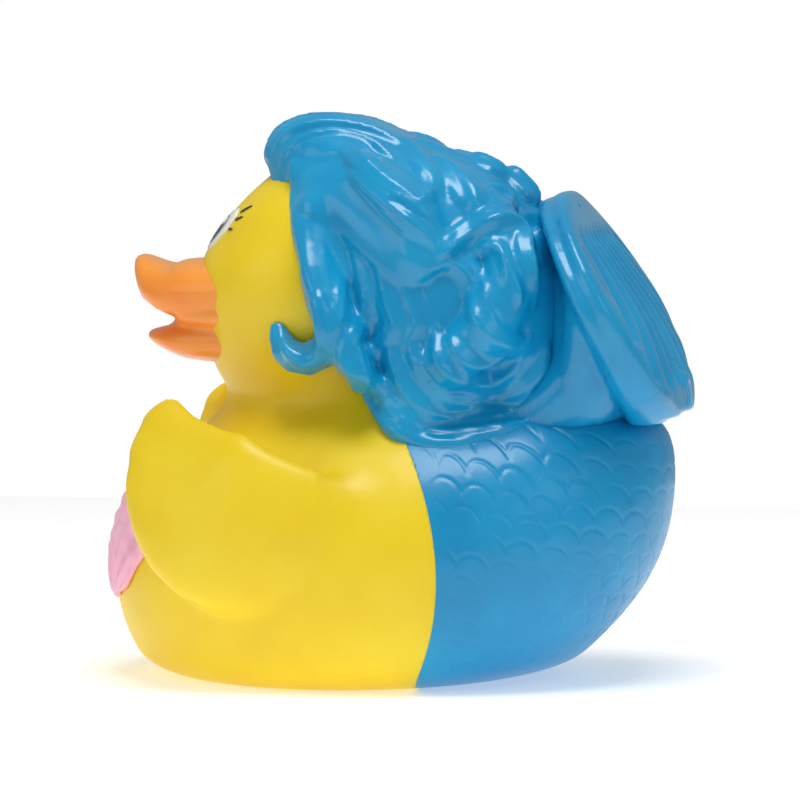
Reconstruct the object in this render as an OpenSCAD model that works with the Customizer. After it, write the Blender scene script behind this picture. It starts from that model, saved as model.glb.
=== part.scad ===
// Duck-shaped floating tablet dispenser: a soft vinyl float dressed as a mermaid duck, with a tablet
// basket that is stowed in a well in its base and is pulled down into the water for use.
// The beak points along -X, +Z is up, and the foot stands on Z = 0.

/* [Float] */
// Length of the float, from the breast to the back of the tail
float_l = 120; // [104:1:150]
// Width of the float across its flanks
float_w = 92; // [80:1:112]
// Height of the float, from the foot to the top of the hair
float_h = 117; // [102:1:141]
// Thickness of the cast vinyl skin
skin = 2.2; // [1.8:0.1:2.8]
// Length of the glued lap between the front and rear castings
lap = 5; // [3:0.5:8]

/* [Trim] */
// How far the shell-shaped trim stands out of the breast
trim_relief = 1.4; // [0.8:0.1:2.5]
// How far the eye patches stand out of the face
eye_relief = 0.4; // [0.3:0.05:0.8]
// Thickness of the tail fin at its root
fin_root_t = 9; // [6:0.5:11]
// Thickness of the tail fin at its margin
fin_edge_t = 4; // [3:0.5:6]
// Wall of the hollow hair casting
hair_wall = 3; // [2.4:0.1:4]

/* [Tablets] */
// Diameter of one chlorine tablet
tablet_d = 25.4; // [20:0.2:28]
// Height of one chlorine tablet
tablet_h = 14; // [10:0.5:16]
// Chamfer on a tablet's rims
tablet_chamfer = 1.2; // [0.5:0.1:2]
// Radial gap between the tablets and the basket
tablet_gap = 0.8; // [0.4:0.1:2]

/* [Basket] */
// Wall of the basket
basket_wall = 1.3; // [1:0.1:2]
// Wall of the dosing sleeve
sleeve_wall = 1.2; // [1:0.1:2]
// Number of water slots
slots_n = 8; // [6:1:10]
// Width of a water slot
slot_w = 4.4; // [3:0.1:5]
// Solid wall left below and above the water slots
slot_edge = 3; // [2:0.2:6]
// Radial running clearance between pieces that turn or slide
run_gap = 0.25; // [0.15:0.05:0.4]

/* [Well] */
// Wall of the well's tube
well_wall = 1.8; // [1.4:0.1:2.5]
// Thickness of the well's flange and roof
flange_t = 2; // [1.6:0.1:3]
// Width of the flange beyond the tube
flange_w = 5; // [4:0.5:7]
// Thickness of the flange gasket
gasket_t = 1.2; // [0.8:0.1:2]
// Wall of the stop bush in the well's mouth
bush_wall = 1.6; // [1.2:0.1:2]
// Height of the stop bush, which sets how far the basket pulls down
bush_h = 5.3; // [4:0.1:8]
// Depth of the recess in the foot that takes the ring nut
recess_h = 4; // [3.5:0.5:6]
// Height of the steel ballast ring
ballast_h = 9; // [5:0.5:12]
// Width of the ballast ring's section
ballast_w = 4.4; // [3:0.2:5]

/* [Cap] */
// Thickness of the cap's disc
cap_t = 2; // [1.6:0.1:3]
// Height of the cap's plug above the washer
plug_h = 3; // [2.4:0.1:5]
// Thickness of the cap washer
washer_t = 1; // [0.8:0.1:1.6]
// Diameter of the pull ring's wire
bail_d = 1.8; // [1.4:0.1:2]
// Turn that frees the cap's lugs, in degrees
cap_turn = 45; // [30:5:60]

/* [Hidden] */
$fn = 96;

// The figure is drawn at these sizes about its own middle, and stretched to the driving sizes.
drawn = [120, 92, 117];
drawn_middle = -0.35;
stretch = [float_l / drawn[0], float_w / drawn[1], float_h / drawn[2]];
function fx(x) = (x - drawn_middle) * stretch[0];
function fy(y) = y * stretch[1];
function fz(z) = z * stretch[2];

// Solids that cut or join are drawn this much past each other.
over = 0.5;
// Film of adhesive between castings that are glued face to face.
glue = 0.05;
// Radial gap of pieces that slip over the well's tube and stay there.
fit_gap = 0.15;

// Radii of the pieces that run in the well, from the tablets outwards.
tablet_r = tablet_d / 2;
basket_ri = tablet_r + tablet_gap;
basket_ro = basket_ri + basket_wall;
sleeve_ri = basket_ro + run_gap;
sleeve_ro = sleeve_ri + sleeve_wall;
bush_ri = sleeve_ro + run_gap;
well_ri = bush_ri + bush_wall;
well_ro = well_ri + well_wall;
rim_ro = well_ri - run_gap;
hole_r = well_ro + fit_gap;
flange_ro = well_ro + flange_w;
recess_r = flange_ro + 0.4;
pad_r = recess_r + skin;

// Heights, from the foot upwards.
well_x = fx(-12.35);
cap_z = 1;
washer_z = cap_z + cap_t;
collar_z = washer_z + washer_t;
plug_top = collar_z + plug_h;
collar_h = 4.5;
sleeve_z = collar_z + collar_h + run_gap;
tablets_z = plug_top + glue;
tablet_space = 0.1;
stack_top = tablets_z + 2 * tablet_h + tablet_space;
roof_t = 2;
basket_top = stack_top + 1 + roof_t;
rim_h = 6;
rim_z = basket_top - rim_h;
nut_z = 0.8;
bush_top = nut_z + bush_h;
pad_top = recess_h + skin;
flange_z = pad_top + gasket_t;
ballast_z = flange_z + flange_t;
clip_t = 1;
clip_z = ballast_z + ballast_h + 0.1;
well_top = basket_top + 1.5;

// ---- The figure's outer surface ----
// Each station of the body and head: height, front edge, rear edge and half width.
stations = [
    [0, -40, 15, 31], [0.4, -45.4, 22.4, 35.4], [1.6, -50.6, 29.6, 38.4], [4, -54.6, 36.6, 41],
    [8, -57, 41.4, 43], [13, -59, 46.2, 44.6], [19, -60, 50.8, 45.8], [25, -60.2, 54, 46],
    [31, -59.2, 56, 45.4], [37, -56.6, 57, 43.6], [43, -52, 57.4, 40], [48, -46.4, 57, 35.6],
    [52, -41.4, 55.6, 31], [55, -38.4, 52, 27], [57.5, -36.8, 43, 24], [59.5, -36.6, 30, 22.4],
    [61.5, -37.8, 20, 21.6], [64, -39.2, 14, 22], [68, -40.4, 12.6, 23.4], [73, -41.2, 12.4, 25],
    [79, -42.4, 12.6, 26], [85, -42.4, 12, 26], [91, -39.2, 10.4, 24.6], [97, -34.8, 7, 21.6],
    [102, -29.8, 2.4, 17], [106, -24.6, -4, 10.6], [108.2, -18, -10.4, 3.4], [108.5, -14.4, -14, 0.1]
];

// Catmull-Rom curve through a list of points.
function bend(a, b, c, d, t) =
    0.5 * (2 * b + (c - a) * t + (2 * a - 5 * b + 4 * c - d) * t * t + (3 * b - a - 3 * c + d) * t * t * t);
function nth(list, i) = list[max(0, min(len(list) - 1, i))];
function along(list, s) =
    let (i = min(floor(s), len(list) - 2))
    bend(nth(list, i - 1), list[i], list[i + 1], nth(list, i + 2), s - i);
function ease(a, b, v) = let (t = max(0, min(1, (v - a) / (b - a)))) t * t * (3 - 2 * t);

// One ring of the surface, moved inwards by an inset on all sides.
function body_ring(s, inset, sides) =
    let (
        p = along(stations, s),
        z = fz(p[0]) + inset * (1 - 2 * ease(0, 60, p[0])),
        mid = (fx(p[1]) + fx(p[2])) / 2,
        half = max(0.1, fx(p[2]) - mid - inset),
        side = max(0.1, fy(p[3]) - inset)
    )
    [for (i = [0:sides - 1]) [mid + half * cos(i * 360 / sides), side * sin(i * 360 / sides), z]];

// Skins a list of rings, each with as many points, into a closed solid.
module skin_rings(rings) {
    n = len(rings[0]);
    m = len(rings);
    sides = [
        for (r = [0:m - 2], i = [0:n - 1], t = [0, 1])
            t == 0 ? [r * n + i, (r + 1) * n + i, (r + 1) * n + (i + 1) % n]
                   : [r * n + i, (r + 1) * n + (i + 1) % n, r * n + (i + 1) % n]
    ];
    polyhedron(
        points = [for (ring = rings, p = ring) p],
        faces = concat(sides, [[for (i = [0:n - 1]) i]], [[for (i = [n - 1:-1:0]) (m - 1) * n + i]]),
        convexity = 6
    );
}
module figure(inset = 0, sides = 44, step = 0.5) {
    skin_rings([for (s = [0:step:len(stations) - 1]) body_ring(s, inset, sides)]);
}

// A cast piece is one skin, with no exact faces to keep.
module cast() resize([0, 0, 0]) children();

// A limb through points, each [x, y, z, half width, half height]. An edge of 1 is round, less is squarer.
// Its widths follow the figure's width, and its heights the figure's height unless tall says otherwise.
function unit(v) = v / norm(v);
function round_off(v, edge) = sign(v) * pow(abs(v), edge);
function limb_ring(points, i, sides, wide, edge) =
    let (
        p = points[i],
        before = points[max(0, i - 1)],
        after = points[min(len(points) - 1, i + 1)],
        t = unit([after[0] - before[0], after[1] - before[1], after[2] - before[2]]),
        side = unit(wide - (wide * t) * t),
        up = cross(t, side)
    )
    [for (k = [0:sides - 1])
        [p[0], p[1], p[2]] + side * p[3] * round_off(cos(k * 360 / sides), edge)
            + up * p[4] * round_off(sin(k * 360 / sides), edge)];
module limb(points, sides = 12, grow = 0, edge = 1, wide = [0, 1, 0], step = 0.5, tall = stretch[2]) {
    path = [for (s = [0:step:len(points) - 1]) along(points, s)];
    sized = [for (p = path) [
        fx(p[0]), fy(p[1]), fz(p[2]), max(0.2, p[3]) * stretch[1] + grow, max(0.2, p[4]) * tall + grow
    ]];
    skin_rings([for (i = [0:len(sized) - 1]) limb_ring(sized, i, sides, wide, edge)]);
}

// ---- Castings ----
// The yellow casting lies ahead of a seam that is an arc in side view and runs straight across.
seam_x = -30.6;
seam_z = 24.5;
seam_r = 46;
seam_top = 55;
nape_x = 16;
module ahead_of_seam(shift = 0) {
    big = 3 * float_l;
    translate([fx(seam_x) + shift, 0, fz(seam_z)]) scale([stretch[0], 1, stretch[2]])
        rotate([90, 0, 0]) cylinder(r = seam_r, h = big, center = true);
    translate([-big, -big / 2, -over]) cube([big + fx(seam_x) + shift, big, big]);
    translate([-big, -big / 2, fz(seam_top)]) cube([big + fx(nape_x) + shift, big, big]);
    translate([well_x, 0, -over]) cylinder(r = pad_r + shift, h = pad_top + over + shift);
}
module hollow() {
    difference() {
        figure();
        difference() {
            figure(skin, 32, 1);
            translate([well_x, 0, 0]) cylinder(r = pad_r, h = pad_top);
        }
    }
}
module foot_cut() {
    translate([well_x, 0, -over]) cylinder(r = recess_r, h = recess_h + over);
    translate([well_x, 0, -over]) cylinder(r = hole_r, h = pad_top + 2 * over);
}
module wing(side) {
    points = [
        [5, 36, 34, 3, 5], [-3, 40, 34, 4, 10], [-13, 42.4, 33.4, 5.2, 14.4], [-23, 42.6, 33.4, 6, 17.4],
        [-32, 40.4, 35.4, 6, 17.4], [-38.6, 36.6, 40, 5.4, 13.6], [-42.4, 32.6, 46, 4.6, 9.8],
        [-43.8, 29.6, 51.6, 4, 6.6], [-43, 27.6, 56.4, 3, 3.8], [-41.6, 26.6, 59.4, 1.4, 1.4]
    ];
    limb([for (p = points) [p[0], side * p[1], p[2], p[3], p[4]]], 20);
}
// The lap inside the seam: it is one with the front casting, and the rear casting is glued over it.
module lap_band(inset, reach) {
    difference() {
        intersection() {
            figure(inset, 32, 1);
            ahead_of_seam(reach);
            translate([-float_l, -float_w, pad_top + lap]) cube([2 * float_l, 2 * float_w, float_h]);
        }
        figure(2 * skin, 32, 1);
        ahead_of_seam(-lap);
    }
}
module front_shell() color("gold") {
    difference() {
        cast() {
            intersection() {
                hollow();
                ahead_of_seam();
            }
            difference() {
                for (side = [-1, 1]) wing(side);
                figure(skin / 2);
            }
            lap_band(skin + glue, lap);
            lap_band(skin - over, 0);
        }
        foot_cut();
    }
}
module rear_shell() color("deepskyblue") cast() {
    difference() {
        hollow();
        ahead_of_seam(glue);
    }
}

// ---- Soft trim ----
hair_stations = [
    [49.6, -1, 9, 31], [52, -3.6, 14, 32.4], [56, -7, 22, 31.4], [62, -10.5, 30, 30.4],
    [69, -13.6, 32.6, 30.2], [77, -16.4, 33.6, 30], [85, -19, 34, 29.6], [92, -21.6, 33, 28.4],
    [99, -24.4, 29.4, 26], [105, -27.4, 21.6, 22.4], [110, -28.4, 8.6, 17], [114, -26.2, -1.4, 11],
    [116.4, -21.6, -8, 5.4], [117, -17, -12, 0.2]
];
function hair_ring(s, sides, grow) =
    let (p = along(hair_stations, s), mid = (fx(p[1]) + fx(p[2])) / 2, half = fx(p[2]) - mid + grow)
    [for (i = [0:sides - 1])
        [mid + half * cos(i * 360 / sides), (fy(p[3]) + grow) * sin(i * 360 / sides), fz(p[0])]];
hair_locks = [
    [[-18, 8, 104, 4, 4], [-24.6, 4, 109, 4.4, 4.4], [-22, -2, 111.6, 5, 4], [-12, -4, 112, 5, 4]],
    [[-16, -12, 105, 5, 5], [-2, -20, 103, 6, 6], [8, -25.6, 95, 6, 6], [12, -27, 85, 4, 5]],
    [[-14, -18, 98, 5, 4], [-12, -26, 84, 5, 4.4], [-8, -29, 74, 5, 4.4], [-2, -30, 62, 4, 3.6]],
    [[-8, -27, 71, 3.6, 3.6], [-14.6, -26.6, 67, 3.6, 3.6], [-19.6, -25.6, 69, 2.8, 3.2],
        [-21.6, -24.6, 74.4, 1, 1.4]],
    [[12, -14, 101, 5, 5], [22, -18, 95, 6, 6], [27, -22, 86, 6, 6], [24, -26, 75, 6, 6], [12, -29, 64, 5, 5]]
];
module hair_mass(grow = 0) {
    skin_rings([for (s = [0:0.5:len(hair_stations) - 1]) hair_ring(s, 36, grow)]);
    for (lock = hair_locks, side = [-1, 1])
        limb([for (p = lock) [p[0], -side * p[1], p[2], p[3], p[4]]], 12, grow);
}
module hair() color("steelblue") cast() {
    difference() {
        hair_mass();
        figure(-glue);
        // The casting is hollow, and open where the head closes it.
        skin_rings([for (s = [1:1:len(hair_stations) - 2]) hair_ring(s, 24, -hair_wall)]);
    }
}

// The fin is a broad fan that rises from the rump on a thick stalk and leans over the back.
module tail_fin() color("dodgerblue") {
    root = fin_root_t / 2;
    edge = fin_edge_t / 2;
    cast() difference() {
        union() {
            limb([
                [56, 0, 55, 14, root], [55.6, 0, 59, 22, root], [53.4, 0, 65, 27.4, root],
                [49.8, 0, 73, 31.6, root * 0.9], [45.2, 0, 81.4, 32.4, (root + edge) / 2],
                [40.6, 0, 89.6, 28, edge * 1.2], [36.8, 0, 96, 20, edge], [34.6, 0, 99.6, 11, edge],
                [34, 0, 100.8, 5, edge / 2]
            ], 32, 0, 0.7, tall = 1);
            limb([
                [30, 0, 54, 22, 14], [39, 0, 60, 24, 12], [43, 0, 67, 24, 10], [42, 0, 76, 22, 8],
                [39, 0, 85, 18, 5], [36, 0, 93, 10, 3]
            ], 24);
        }
        figure(-glue);
        hair_mass(glue);
    }
}
module beak() color("coral") cast() {
    difference() {
        union() {
            limb([
                [-30, 0, 80.8, 20, 8], [-34, 0, 80.4, 19, 7.7], [-40, 0, 80, 16.8, 7], [-45, 0, 79.8, 15, 6.6],
                [-49, 0, 80.2, 13, 6], [-52.4, 0, 82.8, 10, 4], [-54.8, 0, 85.6, 6.6, 2], [-56, 0, 86.8, 2.4, 1]
            ], 20, 0, 0.85);
            limb([
                [-30, 0, 70.8, 17, 7], [-34, 0, 70.2, 16, 6.2], [-40, 0, 69.6, 13.6, 5], [-45, 0, 69.6, 11.6, 4],
                [-49.4, 0, 70, 9, 2.6],
                [-52.4, 0, 70.4, 5.6, 1.4], [-53.8, 0, 70.6, 2, 0.7]
            ], 20, 0, 0.85);
            // the corners of the mouth
            limb([
                [-30, 0, 75.6, 19.4, 6], [-36, 0, 75.4, 17.4, 5.4], [-42, 0, 75, 14.6, 4.2], [-46, 0, 74.4, 10, 2.4],
                [-48, 0, 74.2, 5, 1]
            ], 20);
        }
        figure(-glue);
    }
}
// A patch of one thickness that lies on the figure inside a flat outline seen from the front.
module patch(relief) {
    intersection() {
        difference() {
            figure(-relief);
            figure(-glue);
        }
        translate([-float_l, 0, 0]) rotate([90, 0, 90]) linear_extrude(float_l + fx(-25)) children();
    }
}
module scallop(side) {
    scallop_y = 16;
    scallop_z = 29;
    fan = 12.5;
    ribs = 7;
    cast() patch(trim_relief) translate([side * fy(scallop_y), fz(scallop_z)])
        polygon([for (a = [0:5:355])
            let (
                lobes = 1 + 0.05 * abs(sin(a * ribs / 2)),
                point = 1 - 0.18 * ease(0, 1, -sin(a)) + 0.02 * sin(a)
            )
            [fy(fan) * lobes * cos(a) * point, fz(fan) * 0.9 * lobes * sin(a) + (a == 270 ? -1 : 0)]
        ]);
}
module left_scallop() color("pink") scallop(-1);
module right_scallop() color("pink") scallop(1);
module eye(side) {
    middle = [side * fy(8.8), fz(93)];
    cast() patch(eye_relief) translate(middle) scale([fy(5.2), fz(4.9)]) circle(r = 1, $fn = 40);
}
module left_eye() color("white") eye(-1);
module right_eye() color("white") eye(1);

// ---- The well and what fixes it in the foot ----
module ring(r_out, r_in, z, h) {
    translate([well_x, 0, z]) difference() {
        cylinder(r = r_out, h = h);
        translate([0, 0, -over]) cylinder(r = r_in, h = h + 2 * over);
    }
}
lip_t = 0.8;
clip_groove = 0.6;
module well() color("whitesmoke") {
    translate([well_x, 0, 0]) difference() {
        union() {
            translate([0, 0, nut_z + lip_t]) cylinder(r = well_ro, h = well_top + flange_t - nut_z - lip_t);
            translate([0, 0, flange_z]) cylinder(r = flange_ro, h = flange_t);
        }
        cylinder(r = well_ri, h = well_top);
        translate([0, 0, clip_z]) difference() {
            cylinder(r = well_ro + over, h = clip_t + fit_gap);
            translate([0, 0, -over]) cylinder(r = well_ro - clip_groove, h = clip_t + 2 * over);
        }
    }
}
module flange_gasket() color("dimgray") ring(flange_ro, well_ro + fit_gap, pad_top, gasket_t);
module ring_nut() color("white") {
    notches = 6;
    notch = [2.2, 5, 2];
    difference() {
        ring(flange_ro, well_ro + fit_gap, nut_z, recess_h - nut_z);
        for (i = [0:notches - 1]) translate([well_x, 0, nut_z - over])
            rotate([0, 0, (i + 0.5) * 360 / notches]) translate([flange_ro - notch[0], -notch[1] / 2, 0])
                cube([notch[0] + over, notch[1], notch[2] + over]);
    }
}
module stop_bush() color("lightgray") {
    ring(well_ri - glue, bush_ri, nut_z, bush_top - nut_z);
    ring(well_ro, bush_ri, nut_z, lip_t);
}
module ballast_ring() color("silver")
    ring(well_ro + fit_gap + ballast_w, well_ro + fit_gap, ballast_z, ballast_h);
module ballast_clip() color("gray") {
    gap_w = 9;
    difference() {
        ring(well_ro + 2.4, well_ro - clip_groove + fit_gap, clip_z + fit_gap / 2, clip_t);
        translate([well_x + well_ro, 0, clip_z]) cube([12, gap_w, 4 * clip_t], center = true);
    }
}

// ---- The basket and what rides on it ----
slot_z = sleeve_z + slot_edge;
slot_h = rim_z - run_gap - slot_edge - slot_z;
module slots(r) {
    for (i = [0:slots_n - 1]) translate([well_x, 0, slot_z]) rotate([0, 0, (i + 0.5) * 360 / slots_n])
        translate([r / 2, -slot_w / 2, 0]) cube([r, slot_w, slot_h]);
}
lug_t = 1.4;
lug_z = collar_z + 0.9;
lug_out = 1.2;
lug_half = 12;
lug_slack = 0.2;
// A slice of a disc about the well's axis, from angle a to angle b.
module sector(r, z, h, a, b) {
    far = 2 * r;
    translate([well_x, 0, z]) intersection() {
        cylinder(r = r, h = h);
        translate([0, 0, -over]) linear_extrude(h + 2 * over)
            polygon(concat([[0, 0]], [for (t = [a, (a + b) / 2, b]) [far * cos(t), far * sin(t)]]));
    }
}
module basket() color("ghostwhite") {
    slack_a = 2;
    vent_r = 1.5;
    groove_r = basket_ri + lug_out + lug_slack;
    difference() {
        union() {
            translate([well_x, 0, collar_z]) cylinder(r = basket_ro, h = basket_top - collar_z);
            translate([well_x, 0, collar_z]) cylinder(r = sleeve_ro, h = collar_h);
        }
        translate([well_x, 0, collar_z - over])
            cylinder(r = basket_ri, h = basket_top - roof_t - collar_z + over);
        slots(basket_ro + over);
        for (i = [0:3]) translate([well_x, 0, basket_top - roof_t - over]) rotate([0, 0, 45 + 90 * i])
            translate([basket_ri / 2, 0, 0]) cylinder(r = vent_r, h = roof_t + 2 * over);
        // Two L-shaped grooves for the cap's lugs: a level run, and a way out at its far end.
        for (turn = [0, 180]) {
            sector(groove_r, lug_z - lug_slack, lug_t + 2 * lug_slack,
                turn - lug_half - slack_a, turn + cap_turn);
            sector(groove_r, collar_z - over, lug_z + lug_t + 2 * lug_slack - collar_z + over,
                turn + cap_turn - lug_half - slack_a, turn + cap_turn + lug_half + slack_a);
        }
    }
}
drag_d = 2.2;
drag_r = well_ri - 0.05 - drag_d / 2;
module rim_ring() color("lightsteelblue") {
    difference() {
        ring(rim_ro, basket_ro + glue, rim_z, rim_h);
        ring(rim_ro + over, drag_r - drag_d / 2 - glue, rim_z + rim_h / 2 - drag_d / 2 - 0.2, drag_d + 0.4);
    }
}
module drag_ring() color("black")
    translate([well_x, 0, rim_z + rim_h / 2]) rotate_extrude()
        translate([drag_r, 0]) circle(d = drag_d, $fn = 32);
module dose_sleeve() color("turquoise") {
    difference() {
        ring(sleeve_ro, sleeve_ri, sleeve_z, rim_z - run_gap - sleeve_z);
        slots(sleeve_ro + over);
    }
}
module cap_washer() color("dimgray") ring(sleeve_ro - run_gap, basket_ri, washer_z, washer_t);
pocket_r = basket_ri - run_gap - 1.75;
pocket_h = bail_d + 0.5;
hinge_x = 4;
hinge_z = cap_z + bail_d / 2 + 0.2;
pin_slack = 0.06;
pin_end = 13;
module lock_cap() color("white") {
    difference() {
        union() {
            translate([well_x, 0, cap_z]) cylinder(r = sleeve_ro, h = cap_t);
            translate([well_x, 0, cap_z]) cylinder(r = basket_ri - run_gap, h = plug_top - cap_z);
            for (turn = [0, 180])
                sector(basket_ri + lug_out, lug_z, lug_t, turn - lug_half, turn + lug_half);
        }
        translate([well_x, 0, cap_z - over]) cylinder(r = pocket_r, h = pocket_h + over);
        translate([well_x + hinge_x, 0, hinge_z]) rotate([90, 0, 0])
            cylinder(d = bail_d + 2 * pin_slack, h = 2 * (pin_end + 0.2), center = true);
    }
}
module pull_ring() color("gray") {
    bail_r = pocket_r - bail_d / 2 - 2;
    translate([well_x + hinge_x, 0, hinge_z]) {
        rotate([0, 0, 90]) rotate_extrude(angle = 180) translate([bail_r, 0]) circle(d = bail_d, $fn = 32);
        for (side = [-1, 1]) translate([0, side * (bail_r - bail_d / 2), 0]) rotate([-side * 90, 0, 0])
            cylinder(d = bail_d, h = pin_end - bail_r + bail_d / 2);
    }
}
module tablet(z) {
    translate([well_x, 0, z]) rotate_extrude() polygon([
        [0, 0], [tablet_r - tablet_chamfer, 0], [tablet_r, tablet_chamfer],
        [tablet_r, tablet_h - tablet_chamfer], [tablet_r - tablet_chamfer, tablet_h], [0, tablet_h]
    ]);
}
module tablet_1() color("snow") tablet(tablets_z);
module tablet_2() color("snow") tablet(tablets_z + tablet_h + tablet_space);

front_shell();
rear_shell();
hair();
tail_fin();
beak();
left_scallop();
right_scallop();
left_eye();
right_eye();
well();
flange_gasket();
ring_nut();
stop_bush();
ballast_ring();
ballast_clip();
basket();
rim_ring();
drag_ring();
dose_sleeve();
cap_washer();
lock_cap();
pull_ring();
tablet_1();
tablet_2();
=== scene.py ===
# Mermaid bath duck with a tablet dispenser in its foot.
# Lengths are in millimetres, and in metres for the stand, the camera and the materials.
import math
import random
import bmesh
import bpy
import numpy as np
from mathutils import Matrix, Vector
from mathutils.bvhtree import BVHTree


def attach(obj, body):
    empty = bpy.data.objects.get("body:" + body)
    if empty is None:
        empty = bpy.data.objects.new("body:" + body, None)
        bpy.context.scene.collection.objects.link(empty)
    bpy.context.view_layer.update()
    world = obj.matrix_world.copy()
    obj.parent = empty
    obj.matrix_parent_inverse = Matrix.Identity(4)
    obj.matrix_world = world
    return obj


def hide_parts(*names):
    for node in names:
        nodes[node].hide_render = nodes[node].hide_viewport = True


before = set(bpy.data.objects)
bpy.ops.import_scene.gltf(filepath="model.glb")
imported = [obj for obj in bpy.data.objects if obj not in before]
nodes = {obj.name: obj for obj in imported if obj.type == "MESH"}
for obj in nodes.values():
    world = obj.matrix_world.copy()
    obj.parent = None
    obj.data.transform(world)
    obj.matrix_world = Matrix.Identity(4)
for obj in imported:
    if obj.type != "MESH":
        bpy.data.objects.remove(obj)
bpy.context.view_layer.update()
MM = 0.001

# ---- Stand: a pale floor, a white room and three soft lamps ----
# The floor is a sheet of matt white acrylic that glows faintly.
# It and the room are not part of the duck.
random.seed(7)
bpy.ops.object.select_all(action="DESELECT")


def paint(code):
    """An sRGB hex colour as linear values with alpha."""
    parts = [int(code[i:i + 2], 16) / 255 for i in (1, 3, 5)]
    return [p / 12.92 if p <= 0.04045 else ((p + 0.055) / 1.055) ** 2.4 for p in parts] + [1.0]


def wire(tree, kind, links=(), **settings):
    """Adds one node with its settings, which go on its properties or its sockets, and its links.

    A link is (its socket, the node it comes from, that node's socket)."""
    made = tree.nodes.new(kind)
    for name, value in settings.items():
        if hasattr(made, name):
            setattr(made, name, value)
        else:
            made.inputs[name.replace("_", " ")].default_value = value
    for socket, source, output in links:
        tree.links.new(source.outputs[output], made.inputs[socket])
    return made


def fresh_material(name):
    made = bpy.data.materials.new(name)
    made.use_nodes = True
    made.node_tree.nodes.clear()
    return made, made.node_tree


sheet, tree = fresh_material("lit_acrylic")
grain = wire(tree, "ShaderNodeTexNoise", [("Vector", wire(tree, "ShaderNodeTexCoord"), "Object")],
             Scale=900.0)
tone = wire(tree, "ShaderNodeValToRGB", [("Fac", grain, "Fac")])
tone.color_ramp.elements[0].color = paint("#FBFBFB")
tone.color_ramp.elements[1].color = paint("#FFFFFF")
shade = wire(tree, "ShaderNodeBsdfPrincipled", [("Base Color", tone, "Color")], Roughness=0.8,
             Emission_Color=paint("#FFFFFF"), Emission_Strength=0.38)
# The sheet is seen from above only, so that the foot can be looked at from below.
under = wire(tree, "ShaderNodeBsdfTransparent")
which = wire(tree, "ShaderNodeNewGeometry")
both = wire(tree, "ShaderNodeMixShader",
            [("Fac", which, "Backfacing"), (1, shade, "BSDF"), (2, under, "BSDF")])
wire(tree, "ShaderNodeOutputMaterial", [("Surface", both, 0)])

bpy.ops.mesh.primitive_plane_add(size=0.8, location=(0, 0, 0))
floor = bpy.context.object
floor.name = "floor"
floor.data.materials.append(sheet)

room = bpy.data.worlds.new("white_room")
room.use_nodes = True
backdrop = room.node_tree.nodes["Background"]
backdrop.inputs["Color"].default_value = paint("#FFFFFF")
# The walls look white, and light the duck less than they look.
seen = wire(room.node_tree, "ShaderNodeLightPath")
level = wire(room.node_tree, "ShaderNodeMapRange", [("Value", seen, "Is Camera Ray")],
             To_Min=0.33, To_Max=1.0)
room.node_tree.links.new(level.outputs["Result"], backdrop.inputs["Strength"])
bpy.context.scene.world = room
bpy.context.scene.view_settings.view_transform = "Standard"


def lamp(name, place, aim, size, watts):
    bpy.ops.object.light_add(type="AREA", location=place)
    made = bpy.context.object
    made.name = name
    made.data.size = size
    made.data.energy = watts
    made.rotation_euler = (Vector(aim) - Vector(place)).to_track_quat("-Z", "Y").to_euler()


lamp("lamp_over", (0.05, -0.15, 0.75), (0, 0, 0.05), 0.35, 3.1)
lamp("lamp_left", (-0.7, -0.6, 0.35), (0, 0, 0.05), 0.5, 0.9)
lamp("lamp_right", (0.7, -0.5, 0.5), (0, 0, 0.05), 0.4, 0.5)

# The camera stands 1.2 m off, 11 degrees round from the side and 4 degrees above the horizon.
turn, lift, away = math.radians(11), math.radians(4), 1.2
aim = Vector((0, 0, 0.05725))
back = Vector((math.sin(turn) * math.cos(lift), -math.cos(turn) * math.cos(lift), math.sin(lift)))
bpy.ops.object.camera_add(location=aim + back * away)
camera = bpy.context.object
camera.rotation_euler = (-back).to_track_quat("-Z", "Y").to_euler()
camera.data.sensor_width = 36.0
camera.data.lens = 259.6
camera.data.clip_start, camera.data.clip_end = 0.05, 20.0
bpy.context.scene.camera = camera

# ---- Body: two thin castings that meet at a seam, yellow ahead of it and blue behind ----
# Each is rotation cast soft vinyl, about 2 mm thick, painted satin yellow or blue.


def only(*objs):
    bpy.ops.object.select_all(action="DESELECT")
    for o in objs:
        o.select_set(True)
    bpy.context.view_layer.objects.active = objs[-1]


def merged_copy(name, *sources):
    """Copies of CAD nodes, welded and joined, as one new object."""
    copies = []
    for s in sources:
        o = bpy.data.objects.new(name, nodes[s].data.copy())
        bpy.context.scene.collection.objects.link(o)
        o.data.materials.clear()
        copies.append(o)
    only(*copies)
    if len(copies) > 1:
        bpy.ops.object.join()
    o = bpy.context.view_layer.objects.active
    weld(o)
    return o


def weld(o, gap=0.00001):
    bm = bmesh.new()
    bm.from_mesh(o.data)
    bmesh.ops.remove_doubles(bm, verts=bm.verts, dist=gap)
    bm.to_mesh(o.data)
    bm.free()


def remesh(o, size_mm):
    only(o)
    bpy.context.view_layer.update()
    mod = o.modifiers.new("voxels", "REMESH")
    mod.mode = "VOXEL"
    mod.voxel_size = size_mm * MM
    bpy.ops.object.modifier_apply(modifier=mod.name)


def relax(o, times, factor=0.5):
    only(o)
    mod = o.modifiers.new("relax", "SMOOTH")
    mod.factor = factor
    mod.iterations = times
    bpy.ops.object.modifier_apply(modifier=mod.name)


def pull(o, strokes):
    """Pulls the mesh and its mirror side about some points. A stroke is [point, reach, move] in mm."""
    co = points_of(o)
    for point, reach, move in strokes:
        for side in (-1, 1):
            near = np.exp(-((co - [point[0], side * point[1], point[2]]) ** 2).sum(1) / reach ** 2)
            co += near[:, None] * [move[0], side * move[1], move[2]]
    place_points(o, co)


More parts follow.
